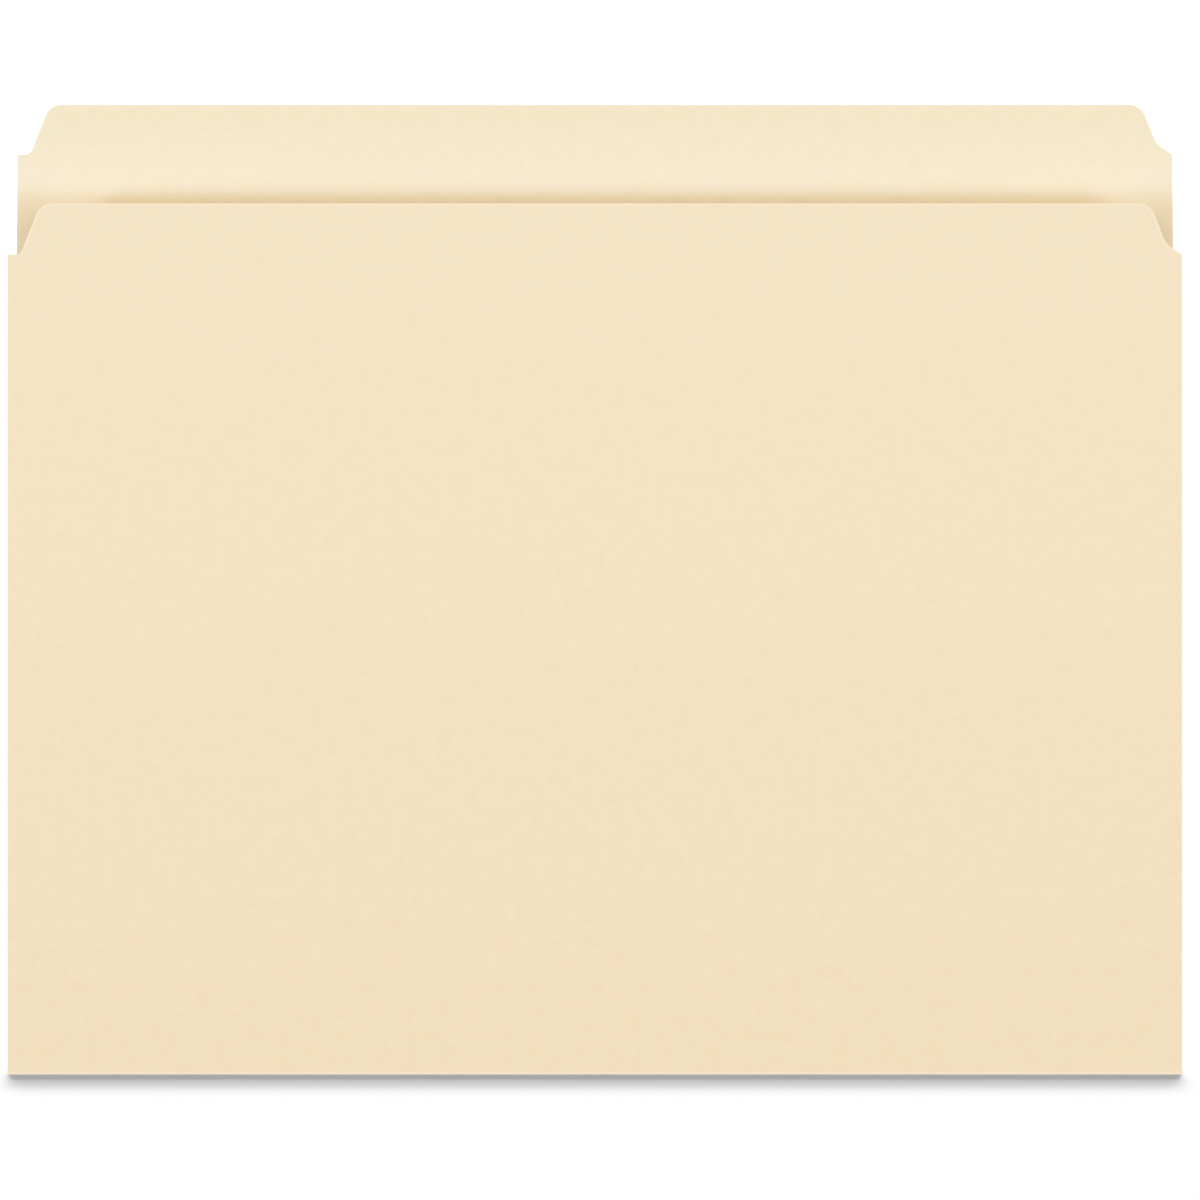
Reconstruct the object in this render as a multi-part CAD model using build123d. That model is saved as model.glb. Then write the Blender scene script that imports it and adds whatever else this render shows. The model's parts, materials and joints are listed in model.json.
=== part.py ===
from build123d import *
import os

os.makedirs("parts", exist_ok=True)

# Driving dimensions, in millimetres and degrees
sheet_thickness = 0.28
folder_width = 295.3
front_height = 219.1
back_height = 246.6
panel_gap = 0.7
rest_opening = 3.5

# Score lines: shallow grooves pressed into the outside of the front, measured from the fold's outer edge
first_score = 5.0
score_pitch = 6.1
score_count = 3
score_width = 0.8
score_depth = 0.06

# The bend of the bottom fold: a round bead a little inside the outer faces of the two panels
bead_relief = 0.03
running_clearance = 0.06

# Die line of both tabs: insets from the side edge, drops from the top edge
tab_height = 12.9
tab_corner_radius = 4.3
left_top_inset = 8.2
left_foot_inset = 3.2
left_foot_radius = 2.2
right_top_inset = 8.0
right_kink_inset = 4.1
right_kink_drop = 10.0
right_kink_radius = 4.0

# Bottom fold: the panels lie on either side of its axis
half_width = folder_width / 2
inner_face = panel_gap / 2
fold_bead_radius = inner_face + sheet_thickness - bead_relief
fold_setback = fold_bead_radius + running_clearance
axis_y = fold_bead_radius - back_height / 2
axis_z = inner_face + sheet_thickness
fold_axis = Axis((0, axis_y, axis_z), (1, 0, 0))

# Round groove that is score_width across and score_depth deep
score_radius = (score_width**2 / 4 + score_depth**2) / (2 * score_depth)


def panel(start, height):
    """Flat panel with its tab: from start to height, both measured from the fold axis."""
    shoulder = height - tab_height
    left = -half_width
    right = half_width
    left_top = (left + left_top_inset, height)
    left_foot = (left + left_foot_inset, shoulder)
    right_top = (right - right_top_inset, height)
    right_kink = (right - right_kink_inset, height - right_kink_drop)
    corners = [
        (left, start),
        (right, start),
        (right, shoulder),
        right_kink,
        right_top,
        left_top,
        left_foot,
        (left, shoulder),
    ]
    face = make_face(Polyline(*corners, close=True))
    rounded = [
        (left_top, tab_corner_radius),
        (right_top, tab_corner_radius),
        (left_foot, left_foot_radius),
        (right_kink, right_kink_radius),
    ]
    for corner, radius in rounded:
        nearest = face.vertices().sort_by_distance(Vector(*corner, 0))[0]
        face = fillet(nearest, radius)
    return extrude(face, amount=sheet_thickness)


def rod(radius):
    """Round bar that runs the whole width of the folder."""
    return Rot(0, 90, 0) * Cylinder(radius, folder_width)


def score_groove(number):
    """Bar that presses one score line into the outside of a flat panel."""
    distance = first_score + number * score_pitch - fold_bead_radius
    return Pos(0, distance, sheet_thickness - score_depth + score_radius) * rod(score_radius)


def back_panel():
    """Taller panel, flat on the table."""
    return Pos(0, axis_y, 0) * panel(fold_setback, back_height - fold_bead_radius)


def front_panel():
    """Shorter panel with its score lines, standing ajar about the bottom fold."""
    flat = panel(fold_setback, front_height - fold_bead_radius)
    for number in range(score_count):
        flat -= score_groove(number)
    closed = Pos(0, axis_y, axis_z + inner_face) * flat
    return closed.rotate(fold_axis, rest_opening)


def bottom_fold():
    """Bead of the fold, on the axis that the front turns about."""
    return Pos(0, axis_y, axis_z) * rod(fold_bead_radius)


pieces = {
    "back_panel": back_panel(),
    "bottom_fold": bottom_fold(),
    "front_panel": front_panel(),
}

for node, shape in pieces.items():
    export_step(shape, os.path.join("parts", node + ".step"))
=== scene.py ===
import json
import math

import bpy
import numpy as np
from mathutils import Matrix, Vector


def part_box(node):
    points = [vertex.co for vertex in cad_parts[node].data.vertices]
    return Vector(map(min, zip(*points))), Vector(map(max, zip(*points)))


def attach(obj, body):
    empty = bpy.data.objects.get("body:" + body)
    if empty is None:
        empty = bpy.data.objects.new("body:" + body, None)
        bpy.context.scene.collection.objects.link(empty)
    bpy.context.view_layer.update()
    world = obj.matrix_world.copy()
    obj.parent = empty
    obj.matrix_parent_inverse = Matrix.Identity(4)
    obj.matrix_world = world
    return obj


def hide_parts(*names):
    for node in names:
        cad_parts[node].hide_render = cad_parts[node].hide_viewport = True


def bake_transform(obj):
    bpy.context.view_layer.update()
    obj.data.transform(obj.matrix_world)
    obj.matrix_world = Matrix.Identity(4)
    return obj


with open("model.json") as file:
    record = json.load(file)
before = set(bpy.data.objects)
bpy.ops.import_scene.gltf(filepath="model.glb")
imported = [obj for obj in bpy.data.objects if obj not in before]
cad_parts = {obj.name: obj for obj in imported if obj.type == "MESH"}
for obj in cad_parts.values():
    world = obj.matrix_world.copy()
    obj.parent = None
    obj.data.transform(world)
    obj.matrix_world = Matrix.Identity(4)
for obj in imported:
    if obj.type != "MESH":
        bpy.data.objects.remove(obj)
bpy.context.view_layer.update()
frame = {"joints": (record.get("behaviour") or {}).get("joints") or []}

MM = 0.001

# Sizes that the frame gives: the fold's axis, the card and how far the folder stands open at rest
back_low, back_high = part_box("back_panel")
front_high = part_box("front_panel")[1]
fold_low, fold_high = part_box("bottom_fold")
axis = (fold_low + fold_high) / 2
opening = -math.radians(frame["joints"][0]["range_deg"][0])
half_width = (back_high.x - back_low.x) / 2
card = back_high.z - back_low.z

# Distances of a panel's outside, middle and inside from the fold's axis, and the panels' lengths from it
outer_face = axis.z
bend_radius = outer_face - card / 2
half_gap = outer_face - card
back_length = back_high.y - axis.y
front_length = (front_high.y - axis.y + half_gap * math.sin(opening)) / math.cos(opening)
sheet_length = back_length + front_length

# Directions of each panel: from the fold to the tab, and out of its outside face
back_along = np.array([0.0, 1.0, 0.0])
back_outward = np.array([0.0, 0.0, -1.0])
front_along = np.array([0.0, math.cos(opening), math.sin(opening)])
front_outward = np.array([0.0, -math.sin(opening), math.cos(opening)])

# Die line of both tabs: insets from the side edge, drops from the top edge
tab_height = 12.9 * MM
tab_corner_radius = 4.3 * MM
left_top_inset = 8.2 * MM
left_foot_inset = 3.2 * MM
left_foot_radius = 2.2 * MM
right_top_inset = 8.0 * MM
right_kink_inset = 4.1 * MM
right_kink_drop = 10.0 * MM
right_kink_radius = 4.0 * MM
arc_points = 10

# Score lines on the outside of the front, measured from the fold's axis
first_score = 4.4 * MM
score_pitch = 6.1 * MM
score_count = 3
score_width = 0.8 * MM
score_depth = 0.004 * MM

# The die rolls the rim of the card over, on both faces, and the front's tab has a painted highlight along it
rim_width = 0.4 * MM
rim_drop = 0.045 * MM
rim_highlight_reach = 0.6 * MM
rim_highlight_fade = 0.3 * MM

# The bent card of the fold: its flats beside the panels, and how far its round tip reaches
bend_flat = 1.5 * MM
tip_reach = 0.3 * MM

# Grain of the card. Its fibres are drawn coarser than real ones, which would be too fine to show
cloud_size = 4.0 * MM
cloud_contrast = 0.16
fibre_length = 2.5 * MM
fibre_width = 0.25 * MM
fibre_rise = 0.02 * MM
fibre_relief = 0.15
fibre_contrast = 0.14
fleck_size = 1.2 * MM
fleck_from = 0.70
fleck_full = 0.78
fleck_contrast = 0.08
roughness_least = 0.62
roughness_most = 0.78

# Painted highlight and shade of the crease: how far they show on either side of the fold's middle, and how
# strongly
crease_reach = 1.1 * MM
crease_contrast = 0.9

# Painted highlight on the strip of the back that the closed front leaves bare. It is palest a short way from
# the front's edge and fades to the covered tone at that edge
bare_strip = back_length - front_length
painted_highlight_fade = 7.5 * MM

# Spacing of the grids: rows nearer than row_least are one, and the side columns are close in the rolled rim
row_step = 4.0 * MM
row_least = 0.02 * MM
score_rows = 11
flat_rows = 5
tip_rows = 25
side_zone = 24.0 * MM
side_columns = np.array([0, 0.05, 0.11, 0.18, 0.28, 0.4, 0.8, 1.6, 3.2, 6.0]) * MM
inner_columns = 63
bend_columns = 24

# Camera: the width that it sees at the front, its distance, how far up the front it looks, and how far right
view_width = 301.7 * MM
view_distance = 880 * MM
view_rise = 118.78 * MM
view_side = 1.3 * MM

# Floor, in metres: it shows shade up to shade_to from its middle, and plain white past white_from
floor_reach = 3.0
floor_level = -0.02 * MM
shade_to = 0.35
white_from = 0.9

# Light: the lamps' distance in metres, the patches along a lamp's side, and the share of the even fill
lamp_distance = 15.0
lamp_patches = 24
fill = 0.12


def linear(hex_colour):
    """sRGB hex colour as linear red, green, blue and alpha."""
    srgb = np.array([int(hex_colour[i : i + 2], 16) for i in (1, 3, 5)]) / 255
    value = np.where(srgb <= 0.04045, srgb / 12.92, ((srgb + 0.055) / 1.055) ** 2.4)
    return (*value.tolist(), 1.0)


def add_object(name, data):
    """New object in the scene."""
    item = bpy.data.objects.new(name, data)
    bpy.context.scene.collection.objects.link(item)
    return item


def add_node(tree, kind, inputs=None, **settings):
    """Add a node with its settings. An input is a value, or the socket that feeds it."""
    node = tree.nodes.new(kind)
    for name, value in settings.items():
        setattr(node, name, value)
    for name, value in (inputs or {}).items():
        if isinstance(value, bpy.types.NodeSocket):
            tree.links.new(value, node.inputs[name])
        else:
            node.inputs[name].default_value = value
    return node


def new_material(name):
    """Empty node material."""
    material = bpy.data.materials.new(name)
    material.use_nodes = True
    material.node_tree.nodes.clear()
    return material


def sheet_tone_and_painted_light(tree, down_sheet):
    """Colour of the plain sheet, from the back's free end over the fold to the front's free end.

    It carries painted shade, warmer and darker about the fold, and a painted highlight, paler on the back's
    bare strip.
    """
    share = add_node(
        tree,
        "ShaderNodeMapRange",
        {"Value": down_sheet, "From Min": -back_length, "From Max": front_length},
    )
    tone = add_node(tree, "ShaderNodeValToRGB", {"Fac": share.outputs["Result"]})
    stops = tone.color_ramp.elements
    # Painted light: these stops paint shade about the fold and a highlight on the back's bare strip
    stops[0].color = linear("#F2E5C6")
    stops[1].color = linear("#F2E1C3")
    stops.new((bare_strip - painted_highlight_fade) / sheet_length).color = linear("#F2E6CE")
    stops.new(bare_strip / sheet_length).color = linear("#F2E2C4")
    stops.new(back_length / sheet_length).color = linear("#F0DCBB")
    return tone.outputs["Color"]


def grained(tree, colour, sheet, clouds, fibres):
    """Colour with the grain of the card: faint clouds, fibres along the fold and sparse dark flecks."""
    cloudy = add_node(
        tree,
        "ShaderNodeMix",
        {"Factor": cloud_contrast, "A": colour, "B": clouds},
        data_type="RGBA",
        blend_type="SOFT_LIGHT",
    )
    fibrous = add_node(
        tree,
        "ShaderNodeMix",
        {"Factor": fibre_contrast, "A": cloudy.outputs["Result"], "B": fibres},
        data_type="RGBA",
        blend_type="SOFT_LIGHT",
    )
    specks = add_node(
        tree,
        "ShaderNodeTexNoise",
        {"Vector": sheet, "Scale": 1 / fleck_size, "Detail": 1.0},
    )
    fleck = add_node(
        tree,
        "ShaderNodeMapRange",
        {
            "Value": specks.outputs["Fac"],
            "From Min": fleck_from,
            "From Max": fleck_full,
            "To Max": fleck_contrast,
        },
    )
    flecked = add_node(
        tree,
        "ShaderNodeMix",
        {"Factor": fleck.outputs["Result"], "A": fibrous.outputs["Result"], "B": linear("#B08D58")},
        data_type="RGBA",
    )
    return flecked.outputs["Result"]


def creased(tree, colour, down_sheet):
    """Colour with the crease's painted light: a painted highlight on its outside and painted shade on its
    inside.
    """
    from_fold = add_node(tree, "ShaderNodeMath", {0: down_sheet}, operation="ABSOLUTE")
    crease = add_node(
        tree,
        "ShaderNodeMapRange",
        {
            "Value": from_fold.outputs["Value"],
            "From Max": crease_reach,
            "To Min": crease_contrast,
            "To Max": 0.0,
        },
        interpolation_type="SMOOTHSTEP",
    )
    inside = add_node(tree, "ShaderNodeAttribute", attribute_name="inside_face")
    # Painted highlight on the crease's outside, painted shade on its inside
    crease_highlight_and_shade = add_node(
        tree,
        "ShaderNodeMix",
        {"Factor": inside.outputs["Fac"], "A": linear("#FBF0DC"), "B": linear("#E0C99E")},
        data_type="RGBA",
    )
    folded = add_node(
        tree,
        "ShaderNodeMix",
        {"Factor": crease.outputs["Result"], "A": colour, "B": crease_highlight_and_shade.outputs["Result"]},
        data_type="RGBA",
    )
    return folded.outputs["Result"]


def rim_highlighted(tree, colour):
    """Colour with the painted highlight along the rim of the front's tab."""
    rim = add_node(tree, "ShaderNodeAttribute", attribute_name="painted_rim_highlight")
    # Painted highlight colour, mixed in along the rim
    edged = add_node(
        tree,
        "ShaderNodeMix",
        {"Factor": rim.outputs["Fac"], "A": colour, "B": linear("#F8E7C9")},
        data_type="RGBA",
    )
    return edged.outputs["Result"]


def manila_card():
    """Manila card: tan pulp board, rolled smooth and left uncoated, so it is matt.

    Held to the eye it shows the faint clouds of its formation, short fibres along the fold and sparse dark
    flecks. Its patterns lie on the unfolded sheet, so they run on across the fold.
    """
    material = new_material("manila_card")
    tree = material.node_tree
    sheet = add_node(tree, "ShaderNodeUVMap", uv_map="blank").outputs["UV"]
    down_sheet = add_node(tree, "ShaderNodeSeparateXYZ", {"Vector": sheet}).outputs["Y"]
    clouds = add_node(
        tree,
        "ShaderNodeTexNoise",
        {"Vector": sheet, "Scale": 1 / cloud_size, "Detail": 3.0, "Roughness": 0.6},
    ).outputs["Fac"]
    stretched = add_node(
        tree,
        "ShaderNodeVectorMath",
        {0: sheet, 1: (1 / fibre_length, 1 / fibre_width, 1)},
        operation="MULTIPLY",
    )
    fibres = add_node(
        tree,
        "ShaderNodeTexNoise",
        {"Vector": stretched.outputs["Vector"], "Scale": 1.0, "Detail": 2.0, "Distortion": 0.6},
    ).outputs["Fac"]
    # The colour carries painted light: shade about the fold and inside the crease, highlights on the back's
    # bare strip, the crease's outside and the front's tab rim
    colour = sheet_tone_and_painted_light(tree, down_sheet)
    colour = grained(tree, colour, sheet, clouds, fibres)
    colour = creased(tree, colour, down_sheet)
    colour = rim_highlighted(tree, colour)
    roughness = add_node(
        tree,
        "ShaderNodeMapRange",
        {"Value": clouds, "To Min": roughness_least, "To Max": roughness_most},
    )
    grain = add_node(
        tree,
        "ShaderNodeBump",
        {"Height": fibres, "Strength": fibre_relief, "Distance": fibre_rise},
    )
    surface = add_node(
        tree,
        "ShaderNodeBsdfPrincipled",
        {
            "Base Color": colour,
            "Roughness": roughness.outputs["Result"],
            "Specular IOR Level": 0.3,
            "Normal": grain.outputs["Normal"],
        },
    )
    add_node(tree, "ShaderNodeOutputMaterial", {"Surface": surface.outputs["BSDF"]})
    return material


def cut_edge():
    """Cut edge of manila card: torn fibres of the paler core, rough and quite without gloss."""
    material = new_material("manila_card_cut_edge")
    tree = material.node_tree
    place = add_node(tree, "ShaderNodeTexCoord")
    fibres = add_node(
        tree,
        "ShaderNodeTexNoise",
        {"Vector": place.outputs["Object"], "Scale": 1 / fibre_width, "Detail": 2.0},
    )
    tone = add_node(tree, "ShaderNodeValToRGB", {"Fac": fibres.outputs["Fac"]})
    stops = tone.color_ramp.elements
    stops[0].position = 0.3
    stops[0].color = linear("#EAD9B8")
    stops[1].position = 0.7
    stops[1].color = linear("#F8ECD6")
    surface = add_node(
        tree,
        "ShaderNodeBsdfPrincipled",
        {"Base Color": tone.outputs["Color"], "Roughness": 0.95, "Specular IOR Level": 0.2},
    )
    add_node(tree, "ShaderNodeOutputMaterial", {"Surface": surface.outputs["BSDF"]})
    return material


def round_corner(before, corner, after, radius):
    """Arc of a rounded corner of the die line.

    Its centre lies on the corner's bisector, radius / sin(half angle) away, and its points turn about that
    centre in equal steps, from the touching point on one run to the one on the other.
    """
    corner = np.array(corner)
    first_way = np.array(before) - corner
    first_way /= np.linalg.norm(first_way)
    last_way = np.array(after) - corner
    last_way /= np.linalg.norm(last_way)
    half_angle = math.acos(first_way @ last_way) / 2
    bisector = first_way + last_way
    bisector /= np.linalg.norm(bisector)
    centre = corner + bisector * radius / math.sin(half_angle)
    first_spoke = corner + first_way * radius / math.tan(half_angle) - centre
    last_spoke = corner + last_way * radius / math.tan(half_angle) - centre
    turn = math.pi - 2 * half_angle
    share = np.linspace(0, 1, arc_points)[:, None]
    spokes = np.sin((1 - share) * turn) * first_spoke + np.sin(share * turn) * last_spoke
    return centre + spokes / math.sin(turn)


def left_die_line():
    """Left side of a tab as (inset, drop) points, from the top edge down to the ledge of its shoulder."""
    top = (left_top_inset, 0)
    foot = (left_foot_inset, tab_height)
    head = round_corner((half_width, 0), top, foot, tab_corner_radius)
    heel = round_corner(top, foot, (0, tab_height), left_foot_radius)
    return np.concatenate([head, heel])


def right_die_line():
    """Right side of a tab as (inset, drop) points, from the top edge down to its slanted shoulder."""
    top = (right_top_inset, 0)
    kink = (right_kink_inset, right_kink_drop)
    shoulder = (0, tab_height)
    head = round_corner((half_width, 0), top, kink, tab_corner_radius)
    bend = round_corner(top, kink, shoulder, right_kink_radius)
    return np.concatenate([head, bend, [shoulder]])


def inset_at(drop, line):
    """Inset of a die line at each drop below the top edge. Under the shoulder the side is straight."""
    return np.where(drop < tab_height, np.interp(drop, line[:, 1], line[:, 0]), 0)


def panel_rows(length, scored):
    """Distances from the fold of a panel's rows of points: close at the tab, its rim and the score lines."""
    plain = np.arange(bend_flat, length - tab_height, row_step)
    ledge = tab_height + side_columns
    drops = np.concatenate([left_die_line()[:, 1], right_die_line()[:, 1], side_columns, ledge])
    rows = [plain, length - drops]
    if scored:
        across = np.linspace(-1, 1, score_rows) * score_width
        rows += [first_score + number * score_pitch + across for number in range(score_count)]
    steps = np.unique(np.round(np.concatenate(rows) / row_least))
    return steps[steps * row_least >= bend_flat - row_least / 2] * row_least


def distance_to(line, points):
    """Least distance of each point to a line of straight runs, found along every run at once."""
    start = line[:-1]
    run = line[1:] - start
    offset = points[..., None, :] - start
    share = np.clip((offset * run).sum(-1) / (run * run).sum(-1), 0, 1)
    return np.linalg.norm(offset - share[..., None] * run, axis=-1).min(-1)


def panel_grid(length, scored):
    """Across and along positions of a panel's grid, and how far each point is from the cut edge.

    A row runs from one die line to the other. Its side columns keep a set distance from the die line, and
    its inner columns are straight.
    """
    rise = panel_rows(length, scored)
    left = inset_at(length - rise, left_die_line()) - half_width
    right = half_width - inset_at(length - rise, right_die_line())
    inner = np.linspace(-1, 1, inner_columns) * (half_width - side_zone)
    across = np.concatenate(
        [
            left[:, None] + side_columns,
            np.broadcast_to(inner, (len(rise), inner_columns)),
            right[:, None] - side_columns[::-1],
        ],
        axis=1,
    )
    along = np.broadcast_to(rise[:, None], across.shape)
    points = np.stack([across, along], axis=-1)
    left_edge = np.stack([left, rise], axis=-1)
    right_edge = np.stack([right, rise], axis=-1)
    sides = np.minimum(distance_to(left_edge, points), distance_to(right_edge, points))
    return across, along, np.minimum(sides, length - along)


def card_faces(rows, columns):
    """Faces of a closed sheet: the grid of its outside, that of its inside, and the strip round its rim."""
    index = np.arange(rows * columns).reshape(rows, columns)
    under = rows * columns
    corners = [index[:-1, :-1], index[:-1, 1:], index[1:, 1:], index[1:, :-1]]
    outside = np.stack(corners, axis=-1).reshape(-1, 4)
    inside = outside[:, ::-1] + under
    loop = np.concatenate([index[0, :-1], index[:-1, -1], index[-1, :0:-1], index[:0:-1, 0]])
    ahead = np.roll(loop, -1)
    rim = np.stack([ahead, loop, loop + under, ahead + under], axis=-1)
    return outside, inside, rim


def card_piece(name, middle, outward, blank, cut_distance, rim_highlight_share):
    """Closed piece of card about a grid of points on its middle surface.

    Each point goes half the card's thickness out and in along the normal. Within rim_width of a cut edge
    both faces come together by rim_drop times (1 - distance / rim_width) squared. A strip closes the rim.
    Where marked, its rim carries a painted highlight, which fades in over a short width up to a set reach
    from the cut.
    """
    rolled = rim_drop * np.clip(1 - cut_distance / rim_width, 0, 1) ** 2
    reach = (card / 2 - rolled)[..., None] * outward
    points = np.concatenate([(middle + reach).reshape(-1, 3), (middle - reach).reshape(-1, 3)])
    outside, inside, rim = card_faces(*cut_distance.shape)
    faces = np.concatenate([outside, inside, rim])
    mesh = bpy.data.meshes.new(name)
    mesh.from_pydata(points.tolist(), [], faces.tolist())
    mesh.shade_smooth()

    # The rim is the cut edge, with a sharp line along either side of it
    is_rim = np.arange(len(faces)) >= len(outside) + len(inside)
    mesh.polygons.foreach_set("material_index", is_rim.astype(np.int32))
    ends = np.empty(len(mesh.edges) * 2, np.int32)
    mesh.edges.foreach_get("vertices", ends)
    on_rim = np.isin(ends, rim).reshape(-1, 2).all(axis=1)
    mesh.edges.foreach_set("use_edge_sharp", on_rim)

    # What the card's finish reads: the place on the unfolded sheet, the painted rim highlight and the inside
    corner_points = np.empty(len(mesh.loops), np.int32)
    mesh.loops.foreach_get("vertex_index", corner_points)
    flat = np.concatenate([blank.reshape(-1, 2)] * 2)
    mesh.uv_layers.new(name="blank").data.foreach_set("uv", flat[corner_points].ravel())
    # Painted highlight along the marked rim
    pale = rim_highlight_share * np.clip((rim_highlight_reach - cut_distance) / rim_highlight_fade, 0, 1)
    both_faces = np.tile(pale.ravel(), 2)
    mesh.attributes.new("painted_rim_highlight", "FLOAT", "POINT").data.foreach_set("value", both_faces)
    inside_face = np.repeat([0.0, 1.0], cut_distance.size)
    mesh.attributes.new("inside_face", "FLOAT", "POINT").data.foreach_set("value", inside_face)
    mesh.update()
    return add_object(name, mesh)


def score_grooves(along):
    """Depth of the score lines: at each one a cosine groove, score_width across and score_depth deep."""
    scores = first_score + score_pitch * np.arange(score_count)
    nearest = np.abs(along[..., None] - scores).min(-1)
    return score_depth * (0.5 + 0.5 * np.cos(np.clip(nearest / score_width, 0, 0.5) * 2 * math.pi))


def panel(name, length, along_way, outward, is_front):
    """Flat panel of card: axis + across * x + along * its way + (bend radius - groove) * its outward way.

    Only the front is scored and has a painted highlight along its tab's rim. The back's rows run the other
    way, to face outward.
    """
    side = 1 if is_front else -1
    across, along, cut_distance = (values[::side] for values in panel_grid(length, is_front))
    lift = np.full(along.shape, bend_radius)
    rim_highlight_share = np.zeros(along.shape)
    if is_front:
        lift -= score_grooves(along)
        rim_highlight_share[along > length - tab_height] = 1
    middle = np.array(axis) + along[..., None] * along_way + lift[..., None] * outward
    middle[..., 0] = across
    blank = np.stack([across, side * (along + half_bend)], axis=-1)
    return card_piece(name, middle, outward, blank, cut_distance, rim_highlight_share)


def fold_profile():
    """Middle line of the bent card and its normals: the back's flat, half an ellipse, the front's flat.

    The ellipse has half axes a, its depth along the tip, and b, the bend radius. Where its normal is (u, v),
    along and across the tip, its point is (a * a * u, b * b * v) / root of (a * a * u * u + b * b * v * v).
    """
    angle = np.linspace(1.5 * math.pi, 0.5 * math.pi + opening, tip_rows)
    normal = np.stack([np.zeros_like(angle), np.cos(angle), np.sin(angle)], axis=-1)
    tip_way = -np.array([0.0, math.cos(opening / 2), math.sin(opening / 2)])
    front_way = np.array([0.0, -math.sin(opening / 2), math.cos(opening / 2)])
    depth = tip_reach - card / 2
    overrun = outer_face - tip_reach
    along_tip = depth**2 * (normal @ tip_way)
    across_tip = bend_radius**2 * (normal @ front_way)
    scale = np.sqrt(along_tip * (normal @ tip_way) + across_tip * (normal @ front_way))
    round_tip = (along_tip / scale + overrun)[:, None] * tip_way + (across_tip / scale)[:, None] * front_way
    flats = np.linspace(bend_flat, -overrun, flat_rows + 1)[:-1, None]
    back_flat = flats * back_along + bend_radius * back_outward
    front_flat = flats[::-1] * front_along + bend_radius * front_outward
    back_normals = np.repeat(normal[:1], flat_rows, axis=0)
    front_normals = np.repeat(normal[-1:], flat_rows, axis=0)
    middle = np.concatenate([back_flat, round_tip, front_flat])
    return middle, np.concatenate([back_normals, normal, front_normals])


def bent_card(name, along, middle, normals):
    """Half of the bottom fold's card: its profile drawn out along the whole width."""
    edge = side_columns - half_width
    inner = np.linspace(-1, 1, bend_columns) * (half_width - side_zone)
    across = np.concatenate([edge, inner, -edge[::-1]])
    shape = (len(along), len(across))
    surface = np.broadcast_to(np.array(axis) + middle[:, None], (*shape, 3)).copy()
    surface[..., 0] = across
    outward = np.broadcast_to(normals[:, None], (*shape, 3))
    blank = np.stack(np.broadcast_arrays(across[None], along[:, None]), axis=-1)
    cut_distance = np.broadcast_to(half_width - np.abs(across), shape)
    return card_piece(name, surface, outward, blank, cut_distance, np.zeros(shape))


# The folder: two panels, and the bent card between them in two halves that meet at the crease
fold_middle, fold_normals = fold_profile()
fold_steps = np.linalg.norm(np.diff(fold_middle, axis=0), axis=1)
fold_along = np.concatenate([[0], np.cumsum(fold_steps)]) - fold_steps.sum() / 2
half_bend = fold_along[-1] - bend_flat
crease_row = len(fold_along) // 2
back_part = slice(None, crease_row + 1)
front_part = slice(crease_row, None)

back_card = panel("back_panel_card", back_length, back_along, back_outward, is_front=False)
front_card = panel("front_panel_card", front_length, front_along, front_outward, is_front=True)
fold_back = bent_card(
    "fold_back_card", fold_along[back_part], fold_middle[back_part], fold_normals[back_part]
)
fold_front = bent_card(
    "fold_front_card", fold_along[front_part], fold_middle[front_part], fold_normals[front_part]
)
card_finish = manila_card()
edge_finish = cut_edge()
for piece in (back_card, fold_back, fold_front, front_card):
    piece.data.materials.append(card_finish)
    piece.data.materials.append(edge_finish)
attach(back_card, "back")
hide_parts("back_panel")
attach(front_card, "front")
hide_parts("front_panel")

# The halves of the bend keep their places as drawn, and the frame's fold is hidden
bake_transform(fold_back)
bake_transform(fold_front)
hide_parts("bottom_fold")
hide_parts("bottom_fold")


def place_camera():
    """Camera square to the outside of the front."""
    camera = add_object("camera", bpy.data.cameras.new("camera"))
    camera.data.lens = camera.data.sensor_width * view_distance / view_width
    target = np.array(axis) + view_rise * front_along + outer_face * front_outward
    camera.location = target + view_distance * front_outward + np.array([view_side, 0, 0])
    camera.rotation_euler = (opening, 0, 0)
    bpy.context.scene.camera = camera


def seen_or_mirrored(tree):
    """Socket that is 1 for rays from the camera and for mirrored or passed-on ones, and 0 for the rest."""
    path = add_node(tree, "ShaderNodeLightPath")
    mirrored = add_node(
        tree,
        "ShaderNodeMath",
        {0: path.outputs["Is Glossy Ray"], 1: path.outputs["Is Transmission Ray"]},
        operation="MAXIMUM",
    )
    seen = add_node(
        tree,
        "ShaderNodeMath",
        {0: path.outputs["Is Camera Ray"], 1: mirrored.outputs["Value"]},
        operation="MAXIMUM",
    )
    return seen.outputs["Value"]


def white_floor():
    """Matt white paint, with shade near the folder, which turns to plain white for the eye further out."""
    material = new_material("white_floor")
    tree = material.node_tree
    place = add_node(tree, "ShaderNodeTexCoord")
    from_middle = add_node(tree, "ShaderNodeVectorMath", {0: place.outputs["Object"]}, operation="LENGTH")
    far = add_node(
        tree,
        "ShaderNodeMapRange",
        {"Value": from_middle.outputs["Value"], "From Min": shade_to, "From Max": white_from},
        interpolation_type="SMOOTHSTEP",
    )
    far_to_eye = add_node(
        tree,
        "ShaderNodeMath",
        {0: far.outputs["Result"], 1: seen_or_mirrored(tree)},
        operation="MULTIPLY",
    )
    matt = add_node(tree, "ShaderNodeBsdfDiffuse", {"Color": linear("#FFFFFF")})
    plain = add_node(tree, "ShaderNodeEmission", {"Color": linear("#FFFFFF"), "Strength": 1.0})
    surface = add_node(
        tree,
        "ShaderNodeMixShader",
        {0: far_to_eye.outputs["Value"], 1: matt.outputs["BSDF"], 2: plain.outputs["Emission"]},
    )
    add_node(tree, "ShaderNodeOutputMaterial", {"Surface": surface.outputs["Shader"]})
    return material


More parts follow.
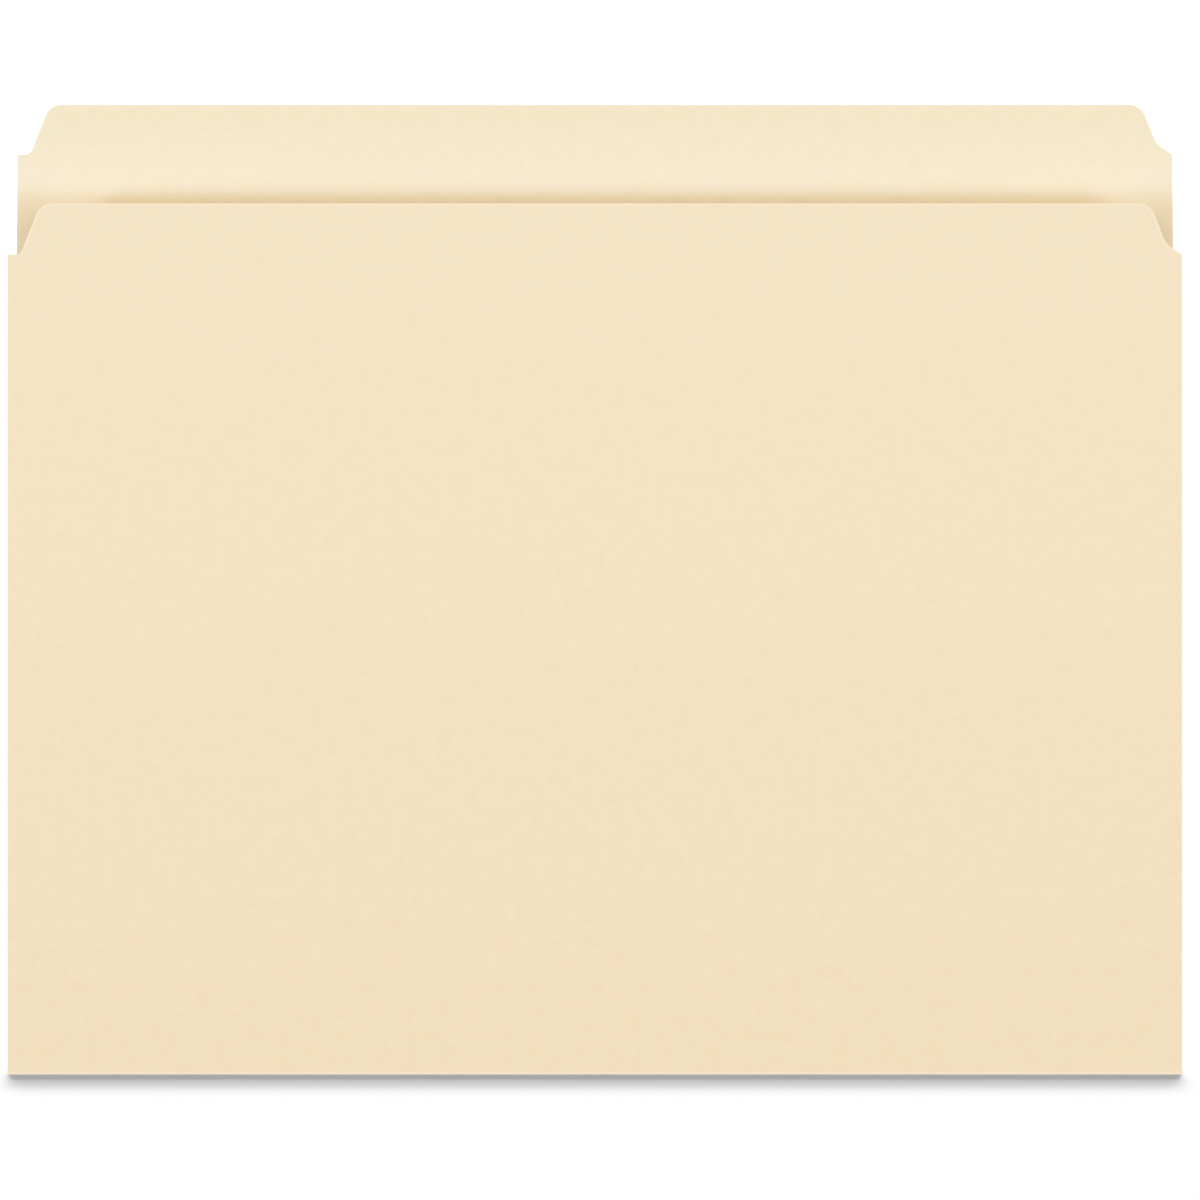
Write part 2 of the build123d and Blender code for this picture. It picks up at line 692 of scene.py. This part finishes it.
def level_floor():
    """Square floor just under the folder."""
    sides = [(-1, -1), (1, -1), (1, 1), (-1, 1)]
    corners = [(x * floor_reach, y * floor_reach, floor_level) for x, y in sides]
    mesh = bpy.data.meshes.new("floor")
    mesh.from_pydata(corners, [], [(0, 1, 2, 3)])
    mesh.materials.append(white_floor())
    return add_object("floor", mesh)


def studio_world():
    """World that is white to the eye and a weak even fill to everything else."""
    world = bpy.data.worlds.new("studio")
    world.use_nodes = True
    tree = world.node_tree
    tree.nodes.clear()
    strength = add_node(
        tree,
        "ShaderNodeMapRange",
        {"Value": seen_or_mirrored(tree), "To Min": fill, "To Max": 1.0},
    )
    sky = add_node(
        tree,
        "ShaderNodeBackground",
        {"Color": linear("#FFFFFF"), "Strength": strength.outputs["Result"]},
    )
    add_node(tree, "ShaderNodeOutputWorld", {"Surface": sky.outputs["Background"]})
    return world


def softbox(name, share, azimuth, elevation, width, height, tint="#FFFFFF"):
    """Soft rectangular lamp, seen from the folder under these angles in degrees. Azimuth 0 is over the tabs.

    Its power is set so that a level white card in the middle gets that share of full white. The light from
    each patch of the lamp, radiance * area * the cosines at lamp and card / distance squared, is added up.
    """
    turn = math.radians(azimuth)
    tilt = math.radians(elevation)
    way = Vector((math.sin(turn) * math.cos(tilt), math.cos(turn) * math.cos(tilt), math.sin(tilt)))
    aim = way.to_track_quat("Z", "Y")
    half_size = lamp_distance * np.tan(np.radians([width / 2, height / 2]))
    steps = (np.arange(lamp_patches) + 0.5) / lamp_patches * 2 - 1
    patch_x, patch_y = np.meshgrid(steps * half_size[0], steps * half_size[1])
    turned = np.array(aim.to_matrix())
    patches = np.stack([patch_x, patch_y, np.full_like(patch_x, lamp_distance)], axis=-1) @ turned.T
    reach = np.linalg.norm(patches, axis=-1)
    gathered = (lamp_distance / reach * np.clip(patches[..., 2], 0, None) / reach / reach**2).mean()
    lamp = add_object(name, bpy.data.lights.new(name, "AREA"))
    lamp.data.shape = "RECTANGLE"
    lamp.data.size, lamp.data.size_y = 2 * half_size
    lamp.data.energy = share * math.pi**2 / gathered
    lamp.data.color = linear(tint)[:3]
    lamp.location = way * lamp_distance
    lamp.rotation_euler = aim.to_euler()
    lamp.visible_camera = False
    return lamp


def link_group(name, members, state):
    """Collection for light linking, with every member included or excluded."""
    group = bpy.data.collections.new(name)
    for member in members:
        group.objects.link(member)
    for link in group.collection_objects:
        link.light_linking.link_state = state
    return group


# Studio
place_camera()
floor = level_floor()
bpy.context.scene.world = studio_world()
bpy.context.scene.view_settings.view_transform = "Standard"

# The overhead lamp is a little warm and the two side lamps as much cool, so together they are white
folder_lamps = [
    softbox("overhead_lamp", 0.649, azimuth=0, elevation=87, width=80, height=26, tint="#FFF3DA"),
    softbox("left_lamp", 0.2115, azimuth=-111, elevation=45, width=9, height=22, tint="#C3DBFF"),
    softbox("right_lamp", 0.2115, azimuth=117, elevation=52, width=10, height=22, tint="#C3DBFF"),
]
all_but_floor = link_group("all_but_floor", [floor], "EXCLUDE")
for lamp in folder_lamps:
    lamp.light_linking.receiver_collection = all_but_floor

# The floor has lamps of its own. The fold alone blocks the low ones, which gives the soft shadow under it
low_lamps = [
    softbox("floor_low_lamp", 0.34, azimuth=0, elevation=16.5, width=130, height=11),
    softbox("floor_middle_lamp", 0.36, azimuth=0, elevation=33, width=110, height=28),
]
floor_only = link_group("floor_only", [floor], "INCLUDE")
low_blockers = link_group("low_blockers", [fold_back, fold_front], "INCLUDE")
for lamp in low_lamps:
    lamp.light_linking.receiver_collection = floor_only
    lamp.light_linking.blocker_collection = low_blockers
floor_top_lamp = softbox("floor_top_lamp", 0.205, azimuth=180, elevation=85, width=10, height=20)
floor_top_lamp.light_linking.receiver_collection = floor_only
